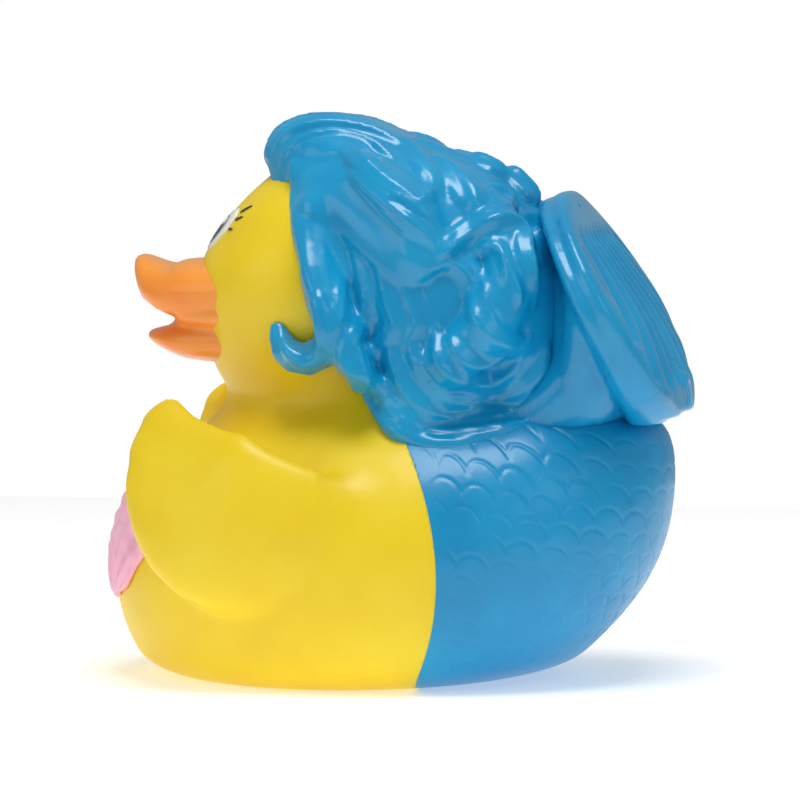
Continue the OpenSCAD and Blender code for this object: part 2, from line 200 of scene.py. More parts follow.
def soften(o, point, reach, times):
    """Smooths the mesh within reach of a point and of its mirror on the other side, in mm."""
    bm = bmesh.new()
    bm.from_mesh(o.data)
    for side in (-1, 1):
        middle = Vector((point[0], side * point[1], point[2])) * MM
        close = [v for v in bm.verts if (v.co - middle).length < reach * MM]
        for _ in range(times):
            bmesh.ops.smooth_vert(bm, verts=close, factor=0.5,
                                  use_axis_x=True, use_axis_y=True, use_axis_z=True)
    bm.to_mesh(o.data)
    bm.free()


def points_of(o):
    co = np.empty(len(o.data.vertices) * 3)
    o.data.vertices.foreach_get("co", co)
    return co.reshape(-1, 3) / MM


def place_points(o, co):
    o.data.vertices.foreach_set("co", (co * MM).ravel())
    o.data.update()


def keep_outer(o):
    """Drops every loose shell except the one that reaches furthest forward."""
    bm = bmesh.new()
    bm.from_mesh(o.data)
    start = min(bm.verts, key=lambda v: v.co.x)
    seen, heap = {start}, [start]
    while heap:
        v = heap.pop()
        for e in v.link_edges:
            w = e.other_vert(v)
            if w not in seen:
                seen.add(w)
                heap.append(w)
    bmesh.ops.delete(bm, geom=[v for v in bm.verts if v not in seen], context="VERTS")
    bm.to_mesh(o.data)
    bm.free()


SEAM_X, SEAM_Z, SEAM_R, NAPE_X, NAPE_Z = -30.25, 24.5, 46.0, 16.35, 55.0
PAD_X, PAD_R, PAD_TOP = -12.0, 27.5, 6.2
HOLE_R = 20.05
SKIN = 2.1


def behind_seam(x, y, z):
    """Signed distance behind the seam: below nought is yellow, above it is blue."""
    arc = np.hypot(x - SEAM_X, z - SEAM_Z) - SEAM_R
    nape = np.maximum(x - NAPE_X, NAPE_Z - z)
    pad = np.maximum(np.hypot(x - PAD_X, y) - PAD_R, z - PAD_TOP)
    return np.minimum(np.minimum(arc, x - SEAM_X), np.minimum(nape, pad))


def cut_by(bm, rule):
    """Cuts the mesh where rule crosses nought and returns the new edges."""
    bm.verts.ensure_lookup_table()
    co = np.array([v.co for v in bm.verts]) / MM
    value = rule(co[:, 0], co[:, 1], co[:, 2])
    value[np.abs(value) < 0.01] = 0.01
    for k, v in enumerate(bm.verts):
        v.index = k
    crossing = [e for e in bm.edges if value[e.verts[0].index] * value[e.verts[1].index] < 0]
    fresh = set()
    for e in crossing:
        a, b = e.verts
        share = value[a.index] / (value[a.index] - value[b.index])
        fresh.add(bmesh.utils.edge_split(e, a, share)[1])
    for f in list({f for v in fresh for f in v.link_faces}):
        ends = [v for v in f.verts if v in fresh]
        if len(ends) in (2, 4):
            bmesh.utils.face_split(f, ends[0], ends[1])
    return fresh


def part_of(o, name, rule, side):
    """A copy of o with only what lies on one side of the rule, cut clean along it."""
    made = bpy.data.objects.new(name, o.data.copy())
    bpy.context.scene.collection.objects.link(made)
    bm = bmesh.new()
    bm.from_mesh(made.data)
    cut_by(bm, rule)
    middles = np.array([f.calc_center_median() for f in bm.faces]) / MM
    value = rule(middles[:, 0], middles[:, 1], middles[:, 2]) * side
    bmesh.ops.delete(bm, geom=[f for f, v in zip(list(bm.faces), value) if v < 0], context="FACES")
    bmesh.ops.delete(bm, geom=[v for v in bm.verts if not v.link_faces], context="VERTS")
    bm.to_mesh(made.data)
    bm.free()
    return made


body = merged_copy("body_base", "front_shell", "rear_shell")
bpy.ops.mesh.primitive_cylinder_add(vertices=64, radius=(HOLE_R + 1) * MM, depth=2 * MM,
                                    location=(PAD_X * MM, 0, 5 * MM))
only(bpy.context.object, body)
bpy.ops.object.join()
remesh(body, 0.8)
keep_outer(body)
relax(body, 28)
# Each wing is a leaf: its tip is rounded, its upper edge runs down straight to the back, and its
# fore edge is notched.
pull(body, [((-44, 27, 59), 6, (-1.1, 0.6, -1.4)), ((-39.5, 29, 54), 5, (0.4, 0.6, 2.0)),
            ((-35.5, 33, 50.5), 6.5, (0, 1, 3.4)), ((-31, 37.5, 49.5), 6.5, (0, 0.5, 3.0)),
            ((-25, 39, 48.6), 6.5, (0, 0, 1.5)), ((-48.4, 30, 52.6), 2.6, (0.6, 0, 0)),
            ((-51, 33, 46), 2.4, (0.4, 0, 0))])
relax(body, 6)
# the wing runs out into the side
soften(body, (-1, 41, 42), 8, 60)


def hole_side(x, y, z):
    """Above nought outside the hole in the foot."""
    return np.where(z < PAD_TOP + 2, np.hypot(x - PAD_X, y) - HOLE_R, 50.0)


def wall(o, thick_mm):
    """Gives a skin its wall, inwards."""
    only(o)
    mod = o.modifiers.new("wall", "SOLIDIFY")
    mod.thickness = thick_mm * MM
    mod.offset = -1
    mod.use_rim = True
    bpy.ops.object.modifier_apply(modifier=mod.name)


def dress(o, made, body_name, *stood_for, slot=None):
    """Gives a finished piece its material, its smooth shading and its place in the frame."""
    o.data.materials.clear()
    o.data.materials.append(made)
    only(o)
    bpy.ops.object.shade_smooth()
    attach(o, body_name)
    if stood_for:
        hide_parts(*stood_for)


def vinyl(name, mid, deep, pale, rough, coat, patch_mm=14.0, dimple=0.12):
    """Painted soft vinyl: a faintly cloudy colour, and the fine orange peel of sprayed lacquer."""
    made, tree = fresh_material(name)
    place = wire(tree, "ShaderNodeTexCoord")
    cloud = wire(tree, "ShaderNodeTexNoise", [("Vector", place, "Object")],
                 Scale=1000.0 / patch_mm, Detail=3.0, Roughness=0.45)
    tone = wire(tree, "ShaderNodeValToRGB", [("Fac", cloud, "Fac")])
    tone.color_ramp.elements[0].position, tone.color_ramp.elements[0].color = 0.25, paint(deep)
    tone.color_ramp.elements[1].position, tone.color_ramp.elements[1].color = 0.78, paint(pale)
    middle = tone.color_ramp.elements.new(0.5)
    middle.color = paint(mid)
    # Orange peel about 1.6 mm across, coarser than real so that it shows.
    peel = wire(tree, "ShaderNodeTexNoise", [("Vector", place, "Object")], Scale=620.0, Detail=2.0)
    fine = wire(tree, "ShaderNodeBump", [("Height", peel, "Fac")], Strength=dimple, Distance=0.0002)
    wear = wire(tree, "ShaderNodeMapRange", [("Value", cloud, "Fac")],
                To_Min=rough - 0.05, To_Max=rough + 0.06)
    shade = wire(tree, "ShaderNodeBsdfPrincipled",
                 [("Base Color", tone, "Color"), ("Roughness", wear, "Result"), ("Normal", fine, "Normal")],
                 IOR=1.43, Coat_Weight=coat, Coat_Roughness=0.12, Subsurface_Weight=0.12,
                 Subsurface_Radius=(0.004, 0.003, 0.002), Subsurface_Scale=0.6)
    wire(tree, "ShaderNodeOutputMaterial", [("Surface", shade, 0)])
    return made


yellow_vinyl = vinyl("yellow_vinyl", "#F4D41C", "#EFCD16", "#F6D928", 0.42, 0.06)
blue_vinyl = vinyl("blue_vinyl", "#0893C8", "#068BC0", "#129CCF", 0.33, 0.15)

whole = part_of(body, "whole", hole_side, 1)
yellow_half = part_of(whole, "body_yellow", behind_seam, -1)
blue_half = part_of(whole, "body_blue", behind_seam, 1)
for o in (body, whole):
    bpy.data.objects.remove(o)
for o in (yellow_half, blue_half):
    wall(o, SKIN)


# The tail half has rows of shallow fish scales, each a cut arc about 6 mm wide, open below.
def refine(o, rule, cuts=1):
    """Divides the faces whose middles the rule picks."""
    bm = bmesh.new()
    bm.from_mesh(o.data)
    middles = np.array([f.calc_center_median() for f in bm.faces]) / MM
    normals = np.array([f.normal for f in bm.faces])
    edges = {e for f, ok in zip(list(bm.faces), rule(middles, normals)) if ok for e in f.edges}
    bmesh.ops.subdivide_edges(bm, edges=list(edges), cuts=cuts, use_grid_fill=True)
    bm.to_mesh(o.data)
    bm.free()


def normals_of(o):
    n = np.empty(len(o.data.vertices) * 3)
    o.data.vertices.foreach_get("normal", n)
    return n.reshape(-1, 3)


SCALE_W, SCALE_ROW, SCALE_R, SCALE_CUT = 6.2, 4.6, 3.0, 0.34
GROOVE_HALF = 0.36  # half width of an arc's groove
TAIL_R = 43.0  # radius that the rows are measured round
ROW_TILT = 0.22  # how much the rows climb towards the head
TAIL_MIDDLE = [10, 0, 28]


def scale_cut(co):
    """Depth of the scale arcs at each point of the tail half."""
    around = np.arctan2(co[:, 1], co[:, 0] - 2.0) * TAIL_R
    up = co[:, 2] + ROW_TILT * (co[:, 0] - 20.0)
    depth = np.zeros(len(co))
    for shift in (0, 1):
        row = np.round((up - shift * SCALE_ROW) / (2 * SCALE_ROW))
        v = up - shift * SCALE_ROW - row * 2 * SCALE_ROW
        u = around - shift * SCALE_W / 2 + row * 1.3
        u -= np.round(u / SCALE_W) * SCALE_W
        reach = np.hypot(u, v + 0.8)
        arch = np.clip((v + 1.4) / 1.6, 0, 1)
        lean = 0.55 + 0.45 * np.clip(u / SCALE_R + 0.4, 0, 1)
        depth = np.maximum(depth, np.exp(-((reach - SCALE_R) / GROOVE_HALF) ** 2) * arch * lean)
    return depth


refine(blue_half, lambda m, n: (n * (m - TAIL_MIDDLE)).sum(1) > 0)
co, out = points_of(blue_half), normals_of(blue_half)
facing_out = (out * (co - TAIL_MIDDLE)).sum(1) > 0
# the arcs fade out towards the seam and the foot
fade = (np.clip((behind_seam(co[:, 0], co[:, 1], co[:, 2]) - 1.5) / 3, 0, 1)
        * np.clip((co[:, 2] - 2) / 5, 0, 1))
patchy = 0.62 + 0.38 * np.sin(co[:, 0] * 0.11 + 1.2) * np.cos(co[:, 2] * 0.09 + co[:, 1] * 0.05)
co -= out * (scale_cut(co) * fade * patchy * facing_out * SCALE_CUT)[:, None]
place_points(blue_half, co)
dress(yellow_half, yellow_vinyl, "float", "front_shell", slot="vinyl_yellow")
dress(blue_half, blue_vinyl, "float", "rear_shell", slot="vinyl_blue")

# ---- Hair: one glossy casting of thick swept locks ----
# It is soft vinyl, cast in one with its waves and glued over the head. Broad smooth locks lie over
# each other.


def carrier(*objs):
    """A tree of surfaces that the locks are laid on."""
    verts, faces = [], []
    for o in objs:
        at = len(verts)
        verts += [Vector(p) for p in points_of(o)]
        faces += [[at + i for i in f.vertices] for f in o.data.polygons]
    return BVHTree.FromPolygons(verts, faces)


def new_object(name, verts, faces):
    """An object made from points in metres and faces."""
    mesh = bpy.data.meshes.new(name)
    mesh.from_pydata(verts, [], faces)
    o = bpy.data.objects.new(name, mesh)
    bpy.context.scene.collection.objects.link(o)
    return o


def tube_faces(rings, sides):
    """The faces of a closed tube of rings of points, with both its ends."""
    faces = []
    for k in range(rings - 1):
        for i in range(sides):
            j = (i + 1) % sides
            faces.append((k * sides + i, k * sides + j, (k + 1) * sides + j, (k + 1) * sides + i))
    faces.append(tuple(range(sides))[::-1])
    faces.append(tuple((rings - 1) * sides + i for i in range(sides)))
    return faces


def smooth_line(points, step=0.5):
    """Catmull-Rom samples through points, about a step apart."""
    p = np.array(points, float)
    p = np.vstack([2 * p[0] - p[1], p, 2 * p[-1] - p[-2]])
    made = []
    for i in range(1, len(p) - 2):
        count = max(2, int(np.linalg.norm(p[i + 1, :3] - p[i, :3]) / step))
        for t in np.linspace(0, 1, count, endpoint=False):
            a, b, c, d = p[i - 1:i + 3]
            made.append(0.5 * (2 * b + (c - a) * t + (2 * a - 5 * b + 4 * c - d) * t * t
                               + (3 * b - a - 3 * c + d) * t ** 3))
    made.append(p[-2])
    return np.array(made)


def laid(surface, point, side):
    """The place on the surface: (x, z) is cast sideways onto it, (x, y, z) goes to the nearest place."""
    if len(point) == 2:
        hit = surface.ray_cast(Vector((point[0], side * 90, point[1])), Vector((0, -side, 0)))
        if hit[0] is not None:
            return hit[0]
        point = (point[0], side * 6, point[1])
    return surface.find_nearest(Vector(point))[0]


# Shares of the listed height and tilt that are left once the locks run into each other.
PROUD_SHARE, TILT_SHARE = 0.66, 0.8


def lock(surface, path, half, proud, ridges=2, side=-1, groove=0.13, ends=(0.3, 0.3), tilt=0.0,
         deep=1.8, sides=32):
    """One lock: a ridged ribbon swept along a path on the surface.

    Half is its half width, or one for each point, and proud is how far it stands out. Ends are the
    shares of its length that it swells and tapers over. Tilt lifts one edge over its neighbour."""
    spots = [laid(surface, p, side) for p in path]
    proud, tilt = proud * PROUD_SHARE, tilt * TILT_SHARE
    halves = list(half) if isinstance(half, (list, tuple)) else [half] * len(path)
    line = smooth_line([tuple(s) + (h,) for s, h in zip(spots, halves)])
    line, width = line[:, :3], line[:, 3]
    n = len(line)
    normal = np.array([surface.find_nearest(Vector(p))[1] for p in line])
    for _ in range(10):
        normal[1:-1] = (normal[:-2] + normal[1:-1] * 2 + normal[2:]) / 4
    normal /= np.linalg.norm(normal, axis=1)[:, None]
    along = np.gradient(line, axis=0)
    along /= np.linalg.norm(along, axis=1)[:, None] + 1e-9
    across = np.cross(normal, along)
    across /= np.linalg.norm(across, axis=1)[:, None] + 1e-9
    s = np.linspace(0, 1, n)
    grow, taper = np.clip(s / ends[0], 0, 1), np.clip((1 - s) / ends[1], 0, 1)
    swell = 0.05 + 0.95 * np.sin(grow * math.pi / 2) ** 0.7 * np.sin(taper * math.pi / 2) ** 0.8
    angle = np.linspace(0, 2 * math.pi, sides, endpoint=False)
    a, b = np.cos(angle), np.sin(angle)
    verts = []
    for k in range(n):
        rib = 1 + groove * np.cos((ridges + 1) * math.pi * (a + 0.12 * math.sin(6 * s[k])))
        top = (proud + deep) * np.abs(b) ** 0.8 * rib - deep
        w = width[k] * swell[k]
        h = np.where(b > 0, top, -deep + 1.2 * b) * (0.25 + 0.75 * swell[k]) + tilt * a * swell[k]
        h = h - 0.8 * (1 - swell[k])
        for i in range(sides):
            spot, up, _, _ = surface.find_nearest(Vector(line[k] + across[k] * (a[i] * w)))
            up = (up + Vector(normal[k])).normalized()
            verts.append(tuple((spot + up * h[i]) * MM))
    return new_object("lock", verts, tube_faces(n, sides))


hair = merged_copy("hair_locks", "hair")
bpy.ops.mesh.primitive_uv_sphere_add(segments=48, ring_count=24, location=(27 * MM, 0, 74 * MM),
                                     scale=(13.5 * MM, 26 * MM, 25 * MM))
nape = bpy.context.object
bpy.ops.object.transform_apply(location=True, rotation=True, scale=True)
form = merged_copy("form", "front_shell", "rear_shell", "tail_fin", "hair")
fill = nape.copy()
fill.data = nape.data.copy()
bpy.context.scene.collection.objects.link(fill)
only(fill, form)
bpy.ops.object.join()
remesh(form, 1.0)
relax(form, 8)


def dip(co):
    """The crown falls lower towards the fin."""
    co[:, 2] -= 2.6 * np.exp(-((co[:, 0] - 31) / 6.5) ** 2) * np.clip((co[:, 2] - 88) / 8, 0, 1)
    return co


place_points(form, dip(points_of(form)))
surface = carrier(form)
bpy.data.objects.remove(form)
only(nape, hair)
bpy.ops.object.join()
centre = np.array([3.0, 0.0, 84.0])
place_points(hair, dip(centre + (points_of(hair) - centre) * 0.99))

# Locks as [points, half width, how far proud, ridges, more settings].
# A point is (x, z) on the side, or (x, y, z).
SIDE_LOCKS = [
    # the broad lock from the temple, and its round end
    [[(-19, 104.5), (-15, 102.2), (-9.8, 100.2), (-4.2, 96.6), (1.8, 91.6), (7.8, 87.2), (13, 85)],
     [4, 6, 6.8, 6.6, 6, 6, 5], 2.6, 1, {"tilt": -0.7, "ends": (0.2, 0.16), "groove": 0.03}],
    # waves over it
    [[(-7, 105.4), (-3.4, 104), (1.4, 100.6), (7, 96.4), (11.6, 92.8), (13.6, 90)],
     3.0, 2.0, 1, {"tilt": -0.6}],
    [[(-20, 108), (-16.6, 110.4), (-11.6, 110.8), (-6.6, 110), (-2.6, 107.6), (3, 103.4), (7.6, 100.6),
      (12, 96.6), (14, 93.6)], [3, 3.6, 4, 4, 4, 3.8, 3.4, 3, 2.6], 1.8, 2, {"tilt": -0.7}],
    [[(4, 108.6), (8, 106), (10.6, 102.6), (9, 98.6), (7.6, 97)], 2.6, 1.6, 1, {"tilt": 0.5}],
    # the edge of the face, and the curl on the cheek
    [[(-20, 108), (-18.4, 104), (-17, 98), (-16, 93), (-14, 87), (-11.6, 81), (-9.8, 76.6)],
     [3, 3.2, 3, 3, 3, 3, 3], 1.4, 1, {"ends": (0.12, 0.2), "groove": 0.04}],
    [[(-11.4, 82), (-10, 77), (-9.6, 72), (-11, 68.2), (-14, 66.8),
      (-17, 68.4), (-19, 70.8), (-20.4, 73.2)],
     [3, 3, 3.1, 3, 2.6, 2.1, 1.4, 0.5], 2.2, 1, {"ends": (0.1, 0.24), "groove": 0.03}],
    # the lower edge over the shoulder
    [[(-7, 70), (-4.4, 65), (-2, 60.6), (0.6, 57), (4, 54), (9, 51.8), (16, 50.8), (24, 51.4)],
     [2.2, 2.2, 2.2, 2.2, 2.1, 2, 1.8, 1.4], 2.0, 1, {"ends": (0.12, 0.3), "groove": 0.04}],
    # fine ridges along the quiff
    [[(-23, 106.4), (-20, 110), (-15, 112.4), (-9, 112.6), (-3, 110.8), (3, 107.6)],
     1.7, 1.9, 0, {"tilt": -0.3}],
    [[(-25, 108.4), (-21.6, 112.6), (-15.6, 114.6), (-8.6, 114.4), (-2, 112.6), (5, 109.4)], 1.6, 1.7, 0,
     {"tilt": -0.3}],
    # strands that hang below the broad lock
    [[(-12.6, 97), (-9, 92.6), (-6.6, 85.6), (-6, 79), (-7.6, 72), (-8, 69.6)],
     2.8, 1.3, 2, {"ends": (0.4, 0.3)}],
    [[(-8, 94), (-4.2, 89.4), (-2.3, 83.4), (-1.9, 76.6), (-4.2, 69.8), (-6, 65.6)],
     2.9, 1.6, 2, {"ends": (0.4, 0.3)}],
    [[(-3, 91), (1.4, 85.6), (3.3, 79), (4.6, 74), (1.4, 70.2), (-2.6, 66.6)],
     3.2, 1.5, 2, {"ends": (0.4, 0.4)}],
    [[(4, 86), (8, 80), (9, 75), (7, 71), (4, 68)], 3.4, 1.4, 1, {"ends": (0.4, 0.4)}],
    # long curved strands round the nape
    [[(-4, 74), (-2.3, 69.8), (-0.6, 63.4), (3.3, 58), (8.9, 54.2), (15.7, 52.6), (25, 53.6), (33, 57)],
     [2.6, 3, 3.2, 3.2, 3.2, 3.2, 3, 2.4], 1.6, 2, {"ends": (0.16, 0.2)}],
    [[(3, 73), (4.4, 67), (7, 61.6), (12, 57.4), (18, 55.6), (25, 56.4), (31.6, 60)],
     3.0, 1.8, 2, {"ends": (0.2, 0.25)}],
    [[(7.4, 75), (9, 68), (11.6, 62.8), (16.2, 59.4), (22.8, 58.8), (29.6, 61.4), (33.8, 66), (35, 72)],
     2.8, 1.9, 2, {"ends": (0.2, 0.25)}],
    [[(12.4, 76), (14.4, 68), (18, 63.8), (22.8, 62.2), (27.4, 64.4), (30.4, 69)],
     2.6, 1.8, 1, {"ends": (0.2, 0.3)}],
    [[(16, 74), (18.4, 69), (22, 66.6), (26, 68.6), (27.4, 73)], 2.2, 1.7, 1, {}],
    # the broad curl behind, with the arch over it
    [[(15, 88), (18.6, 85.4), (21, 81), (21.8, 76.4), (25.4, 71.6), (30, 70.4), (32.4, 74)],
     [3, 3.6, 4, 4, 3.6, 3, 2.4], 2.2, 1, {"tilt": 0.4, "ends": (0.16, 0.2)}],
    [[(13.6, 88.6), (16.1, 91), (19, 93.2), (22.8, 95.4), (26, 96.2),
      (29, 93.6), (31, 89), (32.4, 83), (33, 77)],
     [2.4, 2.8, 3, 3.2, 3.2, 3, 2.8, 2.4, 2], 2.6, 1, {"ends": (0.14, 0.3)}],
    [[(19, 88), (22, 90.4), (25, 90.6), (27.4, 87), (27.8, 81)], 1.8, 1.6, 1, {}],
    [[(26, 90), (29, 84), (30.4, 78)], 1.8, 1.4, 1, {}],
    # locks from the crown
    [[(6, 109), (12, 107), (17, 103.6), (19.6, 99), (18, 95)],
     [3.4, 4.6, 4.8, 4, 3], 1.7, 1, {"tilt": -0.6}],
    [[(-2, 113), (4, 110.6), (8, 107.4), (11, 103), (12.6, 99)],
     [3, 3.6, 3.6, 3.2, 2.6], 1.5, 1, {"tilt": -0.5}],
    [[(20, 103), (23, 101.6), (25, 99.4), (24, 96.6)], 2.8, 2.0, 1, {}],
]
TOP_LOCKS = [
    # the roll over the forehead
    [[(-19, -14, 101), (-25, -9, 105), (-27, -5, 110), (-22, -3, 114.6), (-14, -3, 116), (-6, -4, 114.4),
      (2, -6, 111)], [3, 5, 5.6, 5.6, 5.4, 5, 4], 0.3, 3, {"groove": 0.2, "ends": (0.35, 0.3)}],
    [[(-24, 3, 105), (-27, 3, 109.6), (-22, 3.6, 114), (-14, 4, 116), (-6, 4, 114),
      (3, 5, 111), (12, 6, 107)],
     [4, 5, 5.6, 5.6, 5.4, 5, 4], 0.2, 3, {"groove": 0.18, "ends": (0.35, 0.3)}],
    [[(-19, 15, 100), (-24, 10, 105), (-24, 10, 110), (-17, 11, 113), (-7, 12, 112),
      (4, 13, 108.6), (14, 15, 104)],
     [3, 4, 4.6, 4.6, 4.6, 4.6, 4], 0.5, 2, {"groove": 0.2, "ends": (0.35, 0.3)}],
    # the humps along the crown
    [[(2, -3, 112), (8, -3, 110), (14, -4, 107), (19, -5, 103)],
     [4, 5, 5, 4], 0.8, 1, {"ends": (0.3, 0.3)}],
    [[(13, -1, 106), (17, -2, 105.6), (20.4, -3, 104), (21.6, -4, 101)],
     4.2, 3.0, 1, {"ends": (0.4, 0.35)}],
    [[(20, 0, 103), (23.6, -1, 102), (26.4, -2, 99), (27.4, -3, 95)],
     4.0, 4.4, 1, {"ends": (0.3, 0.35)}],
    [[(10, 6, 108), (17, 7, 106), (24, 7, 102), (28, 7, 96)], 4.6, 1.6, 1, {}],
    # the pinch that meets the fin
    [[(27, -4, 98), (31, -4, 97), (35, -3, 96.4), (37, -3, 96)], 3.4, 1.2, 1, {"ends": (0.3, 0.2)}],
    [[(27, -14, 90), (31, -11, 90), (35, -9, 88), (37, -9, 84)], 3.0, 2.2, 2, {"groove": 0.2}],
]
parts = [hair]
for path, half, proud, ridges, more in SIDE_LOCKS:
    parts.append(lock(surface, path, half, proud, ridges, side=-1, **more))
    shifted = [tuple(v + random.uniform(-0.7, 0.7) for v in p) for p in path]
    flipped = dict(more, tilt=-more.get("tilt", 0))
    parts.append(lock(surface, shifted, half, proud, ridges, side=1, **flipped))
for path, half, proud, ridges, more in TOP_LOCKS:
    parts.append(lock(surface, path, half, proud, ridges, **more))
for across in (-18.0, 18.0):
    path = [(18, across * 0.8, 104), (27, across * 0.95, 99), (31, across, 92), (32, across, 84)]
    parts.append(lock(surface, path, 4.0, 1.2, 2))
only(*parts[1:], hair)
bpy.ops.object.join()
remesh(hair, 0.6)
relax(hair, 4)
# the shoulder of the broad lock is round, and the lower edge behind the curl runs smoothly back
soften(hair, (-15, 21, 106), 6, 16)
pull(hair, [((-5, 33, 60.5), 3.6, (3.0, 0, 1.6)), ((-1.5, 33.5, 58.5), 3, (0.8, 0, 1.2))])
soften(hair, (-3.6, 33.5, 62), 5.5, 10)
hair_vinyl = vinyl("hair_vinyl", "#0A9ACE", "#0790C5", "#18A6D8", 0.25, 0.3, dimple=0.05)
dress(hair, hair_vinyl, "float", "hair", slot="vinyl_hair")

# ---- Tail fin: a thick fluke on a flared stalk ----
# It is cast in soft vinyl with a wide smooth rim and ribs down the hollow of its back, and glued to
# the rump.


def loft(name, rings, sides=48):
    """A closed solid through level ellipses, each [height, middle x, half length, half width]."""
    spots = smooth_line([(r[1], 0, r[0], r[2], r[3]) for r in rings], step=1.5)
    angle = np.linspace(0, 2 * math.pi, sides, endpoint=False)
    verts = []
    for x, _, z, long, wide in spots:
        verts += [tuple(v) for v in np.column_stack([x + long * np.cos(angle), wide * np.sin(angle),
                                                     np.full(sides, z)]) * MM]
    return new_object(name, verts, tube_faces(len(spots), sides))


def ramp(value, low, high):
    t = np.clip((value - low) / (high - low), 0, 1)
    return t * t * (3 - 2 * t)


FIN_FACE = np.array([0.907, 0.0, 0.42])  # the way the back of the fluke faces
BLADE_STEP, NOTCH = 3.4, 6.5
fin = merged_copy("fluke", "tail_fin")
# the rim is thicker than the fin it stands for: a second blade stands ahead of the first
blade = merged_copy("blade", "tail_fin")
place_points(blade, points_of(blade) - FIN_FACE * BLADE_STEP)
stalk = loft("stalk", [(46, 30, 14, 17), (52, 34, 14.5, 20), (58, 38, 12.6, 22.6), (64, 41, 10, 25),
                       (70, 42, 8, 27), (78, 41.4, 6, 27), (85, 39.6, 4.6, 23.6),
                       (91, 37.4, 3.4, 16), (95, 36, 2, 8)])
only(stalk, blade, fin)
bpy.ops.object.join()
remesh(fin, 0.6)
keep_outer(fin)
relax(fin, 12)
remesh(fin, 0.5)

# The rim stands over a hollow of ribs, which run down from the top and spread a little, and their
# ends notch it.
co, out = points_of(fin), normals_of(fin)
half_width = np.interp(co[:, 2], [53, 55, 59, 65, 73, 81.4, 89.6, 96, 99.6, 100.8],
                       [8, 14, 22, 27.4, 31.6, 32.4, 28, 20, 11, 5])
rib = (np.cos(42 * np.arctan2(co[:, 1], 120 - co[:, 2]) + 0.6 * np.sin(co[:, 2] * 0.22))
       * ramp(-co[:, 2], -96, -88))
from_edge = np.minimum(half_width - np.abs(co[:, 1]),
                       np.minimum((co[:, 2] - 57) * 0.9, (98.5 - co[:, 2]) * 0.9))
on_back = ramp((out * FIN_FACE).sum(1), 0.3, 0.7)
hollow = ramp(from_edge, 3.2 + 0.8 * rib, 6.4 + 0.8 * rib) * on_back
co -= FIN_FACE * ((1.0 - 0.7 * rib) * hollow)[:, None]
# two lobes meet in a notch at the lower end
low = ramp(-co[:, 2], -66, -55) * ramp(co[:, 0], 44, 50)
co[:, 2] += NOTCH * low * np.exp(-(co[:, 1] / 4.6) ** 2)
place_points(fin, co)
relax(fin, 2)
fin_vinyl = vinyl("fin_vinyl", "#0A95C9", "#078ABF", "#17A0D2", 0.27, 0.3, dimple=0.05)
dress(fin, fin_vinyl, "float", "tail_fin", slot="vinyl_fin")

# ---- Beak: one casting, parted lips with the tip turned up ----
# Orange vinyl, a little glossier than the face. Its root is let into the head.
bill = merged_copy("bill", "beak")
remesh(bill, 0.5)
relax(bill, 20)
co = points_of(bill)
co[:, 0] += 3.0 * ramp(co[:, 0], -45, -39)
# the lips part in a dark line at the front
co[:, 0] += (3.2 * np.exp(-((co[:, 2] - 75.4) / 1.5) ** 2)
             * ramp(-np.abs(co[:, 1]), -11, -7) * ramp(-co[:, 0], 44, 47))
place_points(bill, co)
bill_vinyl = vinyl("bill_vinyl", "#FFA03C", "#FD8E2C", "#FFAA4A", 0.32, 0.3)
dress(bill, bill_vinyl, "float", "beak", slot="vinyl_orange")

# ---- Scallops on the breast: two ribbed shells ----
# Pink paint on raised shells. Grooves fan from the hinge at the foot of each, faint waves cross
# them, and the upper edge is wavy.
HINGE_Y, HINGE_Z = 16, 15.5
shell_vinyl = vinyl("shell_vinyl", "#FCBAD3", "#F7AECB", "#FDC5DA", 0.4, 0.1)
for side, node in ((-1, "left_scallop"), (1, "right_scallop")):
    shell = merged_copy("shell_" + node, node)
    remesh(shell, 0.35)
    relax(shell, 4)
    co, out = points_of(shell), normals_of(shell)
    fan = np.arctan2(co[:, 1] - side * HINGE_Y, co[:, 2] - HINGE_Z)
    along_fan = np.hypot(co[:, 1] - side * HINGE_Y, co[:, 2] - HINGE_Z)
    front = ramp(-out[:, 0], 0.2, 0.5)
    flute = (0.32 * np.cos(fan * 17) * ramp(along_fan, 2, 8)
             - 0.22 * np.cos(along_fan * 1.5) * ramp(along_fan, 8, 20))
    co += out * (flute * front)[:, None]
    place_points(shell, co)
    dress(shell, shell_vinyl, "float", node, slot="vinyl_pink")

# ---- Eyes: painted white almonds with a grey iris, a black pupil and a white glint ----
# Each is a film of enamel on the face, with three short lashes behind it.


def enamel(name, mid, deep, rough):
    """Brushed enamel: nearly flat colour with faint strokes."""
    made, tree = fresh_material(name)
    place = wire(tree, "ShaderNodeTexCoord")
    stroke = wire(tree, "ShaderNodeTexNoise", [("Vector", place, "Object")], Scale=700.0, Detail=2.0)
    tone = wire(tree, "ShaderNodeValToRGB", [("Fac", stroke, "Fac")])
    tone.color_ramp.elements[0].position, tone.color_ramp.elements[0].color = 0.3, paint(deep)
    tone.color_ramp.elements[1].position, tone.color_ramp.elements[1].color = 0.7, paint(mid)
    shade = wire(tree, "ShaderNodeBsdfPrincipled", [("Base Color", tone, "Color")],
                 Roughness=rough, Coat_Weight=0.4, Coat_Roughness=0.1)
    wire(tree, "ShaderNodeOutputMaterial", [("Surface", shade, 0)])
    return made


white_enamel = enamel("white_enamel", "#F2F3EC", "#EAECE2", 0.3)
iris_enamel = enamel("iris_enamel", "#7E857F", "#5E6560", 0.3)
black_enamel = enamel("black_enamel", "#1A1C1D", "#101213", 0.25)
face = carrier(yellow_half)


